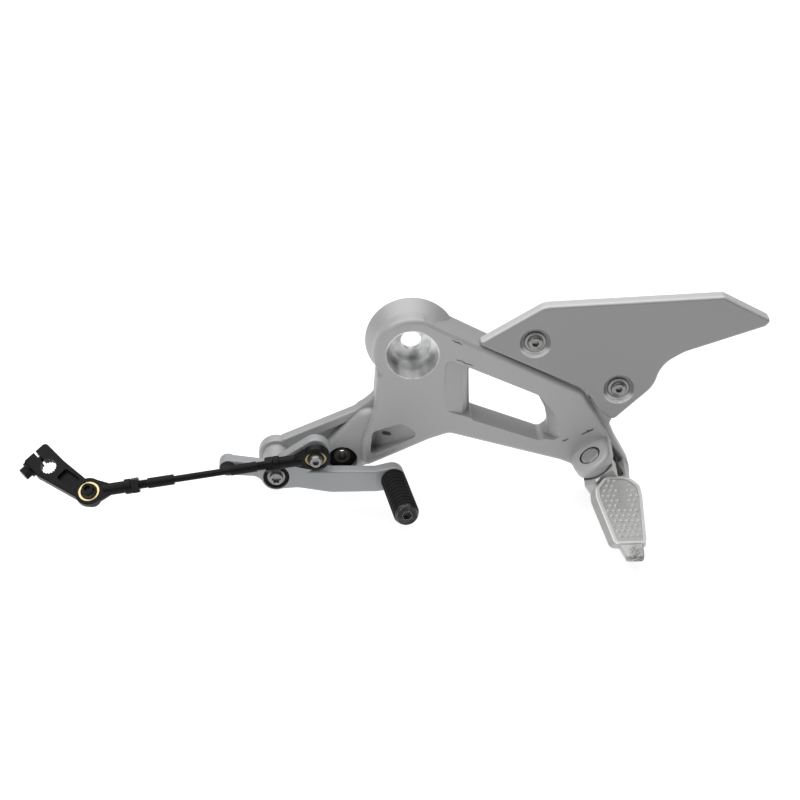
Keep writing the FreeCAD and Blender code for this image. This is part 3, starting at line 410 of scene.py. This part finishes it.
def cast_silver(finishes):
    """Satin coat on a casting, turned bright with painted reflections in the stepped bore, with painted
    light and shade at the footpeg's hinge.
    """
    f = Coat("cast_silver", finishes.cast_silver, finishes.edge, (45 * MM, 4), (0.7 * MM, 2))
    y = f.axes()[1]
    radius = f.near((0, 0, 0), (1, 0, 1))
    turned = radius.within(COUNTERBORE_R + 0.4 * MM, 0.2 * MM) * (-1 * y).beyond(0.2 * MM, 0.1 * MM)
    rings = ((radius + y) * (2 * math.pi / TURNED_PITCH)).math("SINE") * 0.5 + 0.5
    # painted reflections: bright patches on the turned wall of the bore
    painted_reflections = f.noise(11 * MM, 1, (1, 0.15, 1)).ramp(0.36, 0.64)
    skin = f.toned(f.edge * 0.5, f.blotched(0.93, 1.05), 1.3)
    skin = f.mix(turned, skin, f.mix(painted_reflections, tinted(f.colour, 1.3), tinted(f.colour, 2.55)))
    skin = nicked_and_crease_shaded(f, hinge_light_and_shade(f, skin))
    height = f.grain * (1 - turned) + rings * turned * 0.4
    return f.shade(
        Base_Color=skin, Metallic=0.2 + 0.35 * turned,
        Roughness=0.40 + 0.10 * f.cloud + 0.05 * f.grain - 0.14 * turned,
        Normal=f.bump(height, finishes.grain),
    )


def dish_shade_and_light(f, skin):
    """The guard's skin with painted shade round each bolt and painted light on the lower lip of each dish.
    """
    z = f.axes()[2]
    for bolt_x, bolt_z in GUARD_BOLTS:
        radius = f.near((bolt_x * MM, 0, bolt_z * MM), (1, 0, 1))
        below = (z - bolt_z * MM).ramp(-3 * MM, -8 * MM)
        # painted shade in a ring round each bolt's head, and painted light on the dish's lower lip
        painted_shade_ring = radius.ramp(FLANGE_R + 2.0 * MM, FLANGE_R + 0.3 * MM)
        painted_lip_light = radius.beyond(FLANGE_R + 1.2 * MM, 0.6 * MM) * radius.within(DISH_R + 0.3 * MM, 0.9 * MM)
        skin = f.toned(painted_shade_ring * 0.8, skin, 0.2)
        skin = f.toned(painted_lip_light * below, skin, 3.2)
    return skin


def guard_silver(finishes):
    """Smooth silver paint with fine flakes under a thin clear coat, with painted light where it faces up.
    """
    f = Coat("guard_silver", finishes.guard_silver, finishes.edge, (60 * MM, 3), (0.25 * MM, 1))
    skin = f.toned(f.grain.ramp(0.55, 0.75) * 0.35, f.blotched(0.96, 1.03), 1.35)
    skin = f.toned(f.edge * 0.4, skin, 1.2)
    # painted light: paler where the surface faces up
    skin = f.toned(f.facing_up().ramp(0.3, 0.8) * 0.8, skin, 2.2)
    return f.shade(
        Base_Color=dish_shade_and_light(f, skin), Metallic=0.1, Roughness=0.36 + 0.08 * f.cloud + 0.05 * f.grain,
        Coat_Weight=0.18, Coat_Roughness=0.22, Normal=f.bump(f.grain, finishes.grain * 0.15),
    )


def pedal_silver(finishes):
    """Satin coat on a forging, a little cooler than the hanger."""
    f = Coat("pedal_silver", finishes.pedal_silver, finishes.edge, (30 * MM, 4), (0.5 * MM, 2))
    skin = f.toned(f.edge * 0.4, f.blotched(0.94, 1.04), 1.25)
    return f.shade(
        Base_Color=skin, Metallic=0.2, Roughness=0.40 + 0.08 * f.cloud + 0.05 * f.grain,
        Normal=f.bump(f.grain, finishes.grain * 0.6),
    )


def tread_marks(f):
    """Masks of the footpeg's tread: its stud points, the top of its rim and its floor."""
    y, z = f.axes()[1:]
    up = z - PIN.z
    inward = y - PIN.y
    height = up * math.cos(TREAD_LEAN) - inward * math.sin(TREAD_LEAN)
    along = up * math.sin(TREAD_LEAN) + inward * math.cos(TREAD_LEAN)
    tread = along.ramp(-TREAD_START, -TREAD_START - 1 * MM)
    points = height.ramp(TREAD_FLOOR + 0.05 * MM, TREAD_RIM - 0.4 * MM) * tread
    rim = (height - TREAD_RIM).math("ABSOLUTE").ramp(0.12 * MM, 0.04 * MM)
    floor = (height - TREAD_FLOOR).math("ABSOLUTE").ramp(0.3 * MM, 0.1 * MM) * tread
    return points, rim, floor


def tip_scuff(f):
    """1 where the footpeg's tip is scuffed: in a patch toward the rear and along its end."""
    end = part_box("footpeg")[0].y
    y = f.axes()[1]
    patch = f.near((PIN.x + SCUFF_REAR, end + SCUFF_IN, 0), (1, 0.8, 0)).ramp(7 * MM, 2 * MM)
    return (patch + y.ramp(end + 3 * MM, end)) * f.noise(1.6 * MM, 5).ramp(0.3, 0.6)


def peg_alloy(finishes):
    """Bare casting: stud points worn bright and given a painted highlight, over a floor darkened by painted
    shade, a scuffed tip, and painted shadow under the ear.
    """
    f = Coat("peg_alloy", finishes.peg_alloy, finishes.edge, (12 * MM, 4), (0.6 * MM, 3))
    points, rim, floor = tread_marks(f)
    scuff = tip_scuff(f)
    away, along = f.beside(PIN, PIN_AXIS)
    # painted shadow in a crescent under the hanger's ear
    painted_shade_ring = away.within(EAR_R + 1.4 * MM, 0.6 * MM) * along.beyond(EAR_IN - 1.5 * MM, 0.5 * MM)
    skin = f.toned(f.edge * 0.5, f.blotched(0.80, 0.95), 1.3)
    # painted shade on the tread's floor, and stud points worn bright and lifted by a painted highlight
    skin = f.toned(floor * 0.45, skin, 0.6)
    skin = f.toned(points * (1 - 0.75 * rim), skin, 1.78)
    skin = f.toned(scuff * 0.8, skin, 0.35)
    skin = f.toned(painted_shade_ring * 0.9, skin, 0.08)
    return f.shade(
        Base_Color=skin, Metallic=0.4 - 0.3 * points,
        Roughness=0.40 + 0.12 * f.grain - 0.12 * f.edge + 0.2 * scuff,
        Normal=f.bump(f.grain, finishes.grain * 1.4),
    )


def black_steel(finishes):
    """Satin black coat with a fine skin and thin edges."""
    f = Coat("black_steel", finishes.black_steel, finishes.edge * 0.7, (14 * MM, 4), (0.35 * MM, 2))
    skin = f.toned(f.edge * 0.6, f.blotched(0.8, 1.25), 11.0)
    return f.shade(
        Base_Color=skin, Metallic=0.0, Roughness=0.24 + 0.12 * f.cloud + 0.05 * f.grain,
        Specular_IOR_Level=0.11, Normal=f.bump(f.grain, finishes.grain * 0.5),
    )


def toe_cap(finishes):
    """Polished black of the toe peg's end, scuffed grey in spots, with a painted highlight along its edges.
    """
    f = Coat("toe_cap", finishes.black_steel, finishes.edge * 2.4, (7 * MM, 2), (0.5 * MM, 3))
    scuff = f.cloud.ramp(0.48, 0.62) * f.grain.ramp(0.4, 0.65)
    skin = f.toned(scuff, f.colour, 14.0)
    # painted highlight along the cap's edges
    skin = f.toned(f.edge * 0.9, skin, 50.0)
    return f.shade(
        Base_Color=skin, Metallic=0.3, Roughness=0.10 + 0.3 * scuff, Specular_IOR_Level=0.4,
        Normal=f.bump(scuff, finishes.grain),
    )


def zinc_steel(finishes, name, metal, lift):
    """Zinc plate, faintly blotched, as bare metal or dulled by a share and lifted in tone."""
    colour = tinted(finishes.zinc_steel, lift)
    f = Coat(name, colour, finishes.edge * 0.6, (4 * MM, 4), (0.3 * MM, 2))
    skin = f.toned(f.edge * 0.5, f.blotched(0.82, 1.1), 1.4)
    return f.shade(
        Base_Color=skin, Metallic=metal, Roughness=0.22 + 0.14 * f.cloud,
        Normal=f.bump(f.grain, finishes.grain * 0.3),
    )


def dark_steel(finishes):
    """Dark oiled steel, brown in its blots."""
    f = Coat("dark_steel", finishes.dark_steel, finishes.edge * 0.6, (5 * MM, 4), (0.4 * MM, 2))
    brown = [channel * share for channel, share in zip(f.colour, (1.3, 1.05, 0.85))]
    skin = f.mix(f.cloud, tinted(f.colour, 0.8), brown)
    skin = f.toned(f.edge * 0.5, skin, 2.6)
    return f.shade(
        Base_Color=skin, Metallic=0.6, Roughness=0.42 + 0.16 * f.cloud,
        Normal=f.bump(f.grain, finishes.grain * 0.4),
    )


def brass_race(finishes):
    """Plain yellow metal, duller toward the rear joint."""
    f = Coat("brass_race", finishes.brass_race, finishes.edge * 0.5, (3 * MM, 4), (0.3 * MM, 2))
    dull = f.axes()[0].ramp(FRONT_BALL.x, REAR_BALL.x)
    skin = f.toned(f.edge * 0.5, f.blotched(0.85, 1.12), 1.35)
    skin = f.toned(dull * 0.75, skin, 0.3)
    return f.shade(
        Base_Color=skin, Metallic=0.95, Roughness=0.24 + 0.12 * f.cloud,
        Normal=f.bump(f.grain, finishes.grain * 0.2),
    )


def black_rubber(finishes):
    """Matt rubber with dust in its grain."""
    f = Coat("black_rubber", finishes.black_rubber, finishes.edge, (9 * MM, 4), (0.45 * MM, 3))
    skin = f.toned(f.edge * 0.5, f.blotched(0.7, 1.3), 2.2)
    return f.shade(
        Base_Color=skin, Roughness=0.55 + 0.15 * f.cloud, Specular_IOR_Level=0.15,
        Normal=f.bump(f.grain, finishes.grain),
    )


def black_plastic(finishes):
    """Matt moulded plastic with a fine spark texture."""
    f = Coat("black_plastic", finishes.black_plastic, finishes.edge * 0.6, (6 * MM, 3), (0.4 * MM, 2))
    skin = f.toned(f.edge * 0.4, f.blotched(0.85, 1.2), 2.0)
    return f.shade(
        Base_Color=skin, Roughness=0.46 + 0.14 * f.cloud, Normal=f.bump(f.grain, finishes.grain)
    )


def finished_piece(bm, name, material, body):
    """Make a piece of a bmesh and let it ride on a body."""
    bmesh.ops.remove_doubles(bm, verts=bm.verts, dist=0.001 * MM)
    bmesh.ops.recalc_face_normals(bm, faces=bm.faces)
    mesh = bpy.data.meshes.new(name)
    bm.to_mesh(mesh)
    bm.free()
    mesh.materials.append(material)
    piece = bpy.data.objects.new(name, mesh)
    bpy.context.scene.collection.objects.link(piece)
    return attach(piece, body)


def add_thread(bm, details, base, axis):
    """A helical ridge with closed ends on the rod, from a base point along an axis."""
    side = axis.orthogonal().normalized()
    pitch = details.thread_pitch
    crest = THREAD_CORE + details.thread_depth
    corners = [(THREAD_CORE, 0.0), (crest, 0.35), (crest, 0.5), (THREAD_CORE, 0.85)]
    profile = [bm.verts.new(base + side * radius + axis * (share * pitch)) for radius, share in corners]
    start = bm.faces.new(profile)
    turns = (THREAD_END - THREAD_START) / pitch - 1
    steps = int(turns * details.thread_steps)
    bmesh.ops.spin(
        bm, geom=[start, *start.edges, *start.verts], cent=base, axis=axis,
        dvec=axis * (turns * pitch / steps), angle=turns * 2 * math.pi, steps=steps, use_merge=False,
    )


def add_wire(bm, points, thickness):
    """A round wire through points, bent smoothly at each inner one."""
    path = [points[0]]
    for before, here, after in zip(points, points[1:], points[2:]):
        start = (before + here) / 2
        end = (here + after) / 2
        path += interpolate_bezier(start, start.lerp(here, 0.6), end.lerp(here, 0.6), end, 6)
    path.append(points[-1])
    loops = []
    for i, place in enumerate(path):
        ahead = path[min(i + 1, len(path) - 1)] - path[max(i - 1, 0)]
        turn = ahead.to_track_quat("Z", "Y").to_matrix().to_4x4()
        ends = i in (0, len(path) - 1)
        ring = bmesh.ops.create_circle(
            bm, cap_ends=ends, segments=12, radius=thickness / 2, matrix=Matrix.Translation(place) @ turn
        )
        loops.append({edge for vert in ring["verts"] for edge in vert.link_edges})
    for first, second in zip(loops, loops[1:]):
        bmesh.ops.bridge_loops(bm, edges=[*first, *second])


def spring_leg_points():
    """The points of the spring's leg, turned into the part's frame."""
    inward = PIN_AXIS.cross((1, 0, 0)).normalized()
    across = inward.cross(PIN_AXIS)
    return [PIN + (across * x + inward * y + PIN_AXIS * z) * MM for x, y, z in SPRING_LEG]


class FootrestOperator:
    """What the operators share."""

    bl_options = {"REGISTER", "UNDO"}


class FOOTREST_OT_hanger(FootrestOperator, bpy.types.Operator):
    """Coat the cast hanger"""

    bl_idname = "footrest.hanger"
    bl_label = "Hanger"

    def execute(self, context):
        dress(cast_silver(context.scene.footrest_finishes), "cast_silver", "hanger")
        return {"FINISHED"}


class FOOTREST_OT_heel_guard(FootrestOperator, bpy.types.Operator):
    """Paint the heel guard"""

    bl_idname = "footrest.heel_guard"
    bl_label = "Heel Guard"

    def execute(self, context):
        dress(guard_silver(context.scene.footrest_finishes), "guard_silver", "heel_guard")
        return {"FINISHED"}


class FOOTREST_OT_gear_pedal(FootrestOperator, bpy.types.Operator):
    """Coat the gear pedal, its tail plug and the end of its toe peg"""

    bl_idname = "footrest.gear_pedal"
    bl_label = "Gear Pedal"

    def execute(self, context):
        finishes = context.scene.footrest_finishes
        dress(pedal_silver(finishes), "pedal_silver", "gear_pedal")
        dress(black_plastic(finishes), "black_plastic", "tail_plug")
        dress(toe_cap(finishes), "black_steel", "toe_peg_screw")
        return {"FINISHED"}


class FOOTREST_OT_footpeg(FootrestOperator, bpy.types.Operator):
    """Finish the folding footpeg"""

    bl_idname = "footrest.footpeg"
    bl_label = "Footpeg"

    def execute(self, context):
        dress(peg_alloy(context.scene.footrest_finishes), "peg_alloy", "footpeg")
        return {"FINISHED"}


class FOOTREST_OT_shift_linkage(FootrestOperator, bpy.types.Operator):
    """Black the linkage and the pivot's washer, finish the brass pieces and cut the rod's threads"""

    bl_idname = "footrest.shift_linkage"
    bl_label = "Shift Linkage"

    def execute(self, context):
        finishes = context.scene.footrest_finishes
        details = context.scene.footrest_details
        black = black_steel(finishes)
        dress(
            black, "black_steel", "shift_rod", "rear_rod_end", "front_rod_end", "lock_nuts", "shift_arm",
            "pinch_bolt", "front_ball_bolt", "pivot_washer",
        )
        dress(brass_race(finishes), "brass_race", "rear_race", "front_race", "pedal_bush")
        bm = bmesh.new()
        add_thread(bm, details, REAR_BALL + ROD_AXIS * THREAD_START, ROD_AXIS)
        add_thread(bm, details, FRONT_BALL - ROD_AXIS * THREAD_START, -ROD_AXIS)
        finished_piece(bm, "rod_threads", black, "shift_rod")
        return {"FINISHED"}


class FOOTREST_OT_bright_fasteners(FootrestOperator, bpy.types.Operator):
    """Plate the bright fasteners"""

    bl_idname = "footrest.bright_fasteners"
    bl_label = "Bright Fasteners"

    def execute(self, context):
        finishes = context.scene.footrest_finishes
        dress(
            zinc_steel(finishes, "zinc_steel", 0.85, 1.0), "zinc_steel", "heel_guard_bolts", "pivot_sleeve",
            "pivot_bolt", "toe_peg_pin", "rear_ball_bolt", "rear_ball_nut",
        )
        dress(zinc_steel(finishes, "dull_zinc", 0.4, 1.7), "zinc_steel", "footpeg_pin")
        return {"FINISHED"}


class FOOTREST_OT_dark_pieces(FootrestOperator, bpy.types.Operator):
    """Oil the dark steel pieces and bend the fixed leg of the footpeg's spring"""

    bl_idname = "footrest.dark_pieces"
    bl_label = "Dark Pieces"

    def execute(self, context):
        dark = dark_steel(context.scene.footrest_finishes)
        dress(
            dark, "dark_steel", "front_mount_sleeve", "rear_ball", "front_ball", "footpeg_clip",
            "footpeg_spring",
        )
        bm = bmesh.new()
        add_wire(bm, spring_leg_points(), context.scene.footrest_details.wire)
        finished_piece(bm, "spring_leg", dark, "hanger")
        return {"FINISHED"}


class FOOTREST_OT_rubbers(FootrestOperator, bpy.types.Operator):
    """Finish the rubber pieces"""

    bl_idname = "footrest.rubbers"
    bl_label = "Rubbers"

    def execute(self, context):
        rubber = black_rubber(context.scene.footrest_finishes)
        dress(rubber, "black_rubber", "front_mount_bush", "pivot_seal", "toe_peg_rubber")
        return {"FINISHED"}


def floor_material(studio):
    """Matt floor with faint clouds, which gives light of its own."""
    f = Finish("studio_floor")
    colour = studio.floor_colour
    skin = f.mix(f.noise(0.6, 2), tinted(colour, 0.99), tinted(colour, 1.01))
    return f.shade(
        Base_Color=skin, Roughness=0.9, Specular_IOR_Level=0.1,
        Emission_Color=(1, 1, 1), Emission_Strength=studio.floor_glow,
    )


def add_floor(studio, middle, lowest):
    """A wide floor below the part."""
    level = Matrix.Translation((middle.x, middle.y, lowest - studio.floor_gap))
    bm = bmesh.new()
    bmesh.ops.create_grid(bm, x_segments=1, y_segments=1, size=FLOOR_HALF, matrix=level)
    mesh = bpy.data.meshes.new("floor")
    bm.to_mesh(mesh)
    bm.free()
    mesh.materials.append(floor_material(studio))
    floor = bpy.data.objects.new("floor", mesh)
    bpy.context.scene.collection.objects.link(floor)


def add_light(name, place, target, size, power):
    """A square soft light at a place that shines on a target."""
    light = bpy.data.lights.new(name, "AREA")
    light.size = size
    light.energy = power
    lamp = bpy.data.objects.new(name, light)
    bpy.context.scene.collection.objects.link(lamp)
    turn = (target - place).to_track_quat("-Z", "Y")
    lamp.matrix_world = Matrix.Translation(place) @ turn.to_matrix().to_4x4()


def add_camera(studio):
    """The photograph's camera, placed so that the main bore lands on its pixel."""
    data = bpy.data.cameras.new("camera")
    data.sensor_width = SENSOR
    data.lens = studio.lens
    back = Vector((
        math.sin(studio.azimuth) * math.cos(studio.elevation),
        -math.cos(studio.azimuth) * math.cos(studio.elevation),
        math.sin(studio.elevation),
    ))
    right = Vector((0, 0, 1)).cross(back).normalized()
    up = back.cross(right)
    focal = studio.lens / SENSOR * PHOTO_WIDTH
    across = (BORE_PIXEL[0] - PHOTO_WIDTH / 2) / focal * studio.distance
    above = (PHOTO_WIDTH / 2 - BORE_PIXEL[1]) / focal * studio.distance
    camera = bpy.data.objects.new("camera", data)
    bpy.context.scene.collection.objects.link(camera)
    place = BORE_FRONT + back * studio.distance - right * across - up * above
    camera.matrix_world = Matrix.Translation(place) @ Matrix((right, up, back)).transposed().to_4x4()
    bpy.context.scene.camera = camera


def add_room_light(strength):
    """Even white light from all round."""
    world = bpy.data.worlds.new("room")
    world.use_nodes = True
    background = world.node_tree.nodes["Background"]
    background.inputs["Color"].default_value = (1, 1, 1, 1)
    background.inputs["Strength"].default_value = strength
    bpy.context.scene.world = world


class FOOTREST_OT_studio(FootrestOperator, bpy.types.Operator):
    """Set up the floor, the lights and the camera"""

    bl_idname = "footrest.studio"
    bl_label = "Studio"

    def execute(self, context):
        studio = context.scene.footrest_studio
        low, high = CAD_BOX
        middle = (low + high) / 2
        add_floor(studio, middle, low.z)
        add_light("key", middle + KEY_FROM, middle, KEY_SIZE, studio.key)
        add_light("fill", middle + FILL_FROM, middle, FILL_SIZE, studio.fill)
        add_room_light(studio.world)
        context.scene.view_settings.view_transform = "Standard"
        add_camera(studio)
        return {"FINISHED"}


GROUPS = {
    "footrest_finishes": FootrestFinishes,
    "footrest_details": FootrestDetails,
    "footrest_studio": FootrestStudio,
}
OPERATORS = (
    FOOTREST_OT_hanger, FOOTREST_OT_heel_guard, FOOTREST_OT_gear_pedal, FOOTREST_OT_footpeg,
    FOOTREST_OT_shift_linkage, FOOTREST_OT_bright_fasteners, FOOTREST_OT_dark_pieces,
    FOOTREST_OT_rubbers, FOOTREST_OT_studio,
)


class FOOTREST_PT_panel(bpy.types.Panel):
    """Finishes, details and studio of the footrest bracket"""

    bl_idname = "FOOTREST_PT_panel"
    bl_label = "Footrest Bracket"
    bl_space_type = "VIEW_3D"
    bl_region_type = "UI"
    bl_category = "Footrest"

    def draw(self, context):
        for name, group in GROUPS.items():
            box = self.layout.box()
            for key in group.__annotations__:
                box.prop(getattr(context.scene, name), key)
        for operator in OPERATORS:
            self.layout.operator(operator.bl_idname)


CLASSES = (*GROUPS.values(), *OPERATORS, FOOTREST_PT_panel)


def register():
    """Register the classes and hang the property groups on the scene."""
    for cls in CLASSES:
        bpy.utils.register_class(cls)
    for key, group in GROUPS.items():
        setattr(bpy.types.Scene, key, PointerProperty(type=group))


def unregister():
    """Undo register."""
    for key in GROUPS:
        delattr(bpy.types.Scene, key)
    for cls in reversed(CLASSES):
        bpy.utils.unregister_class(cls)


def main():
    """Run every operator in order."""
    register()
    bpy.ops.footrest.hanger()
    bpy.ops.footrest.heel_guard()
    bpy.ops.footrest.gear_pedal()
    bpy.ops.footrest.footpeg()
    bpy.ops.footrest.shift_linkage()
    bpy.ops.footrest.bright_fasteners()
    bpy.ops.footrest.dark_pieces()
    bpy.ops.footrest.rubbers()
    bpy.ops.footrest.studio()


if __name__ == "__main__":
    main()
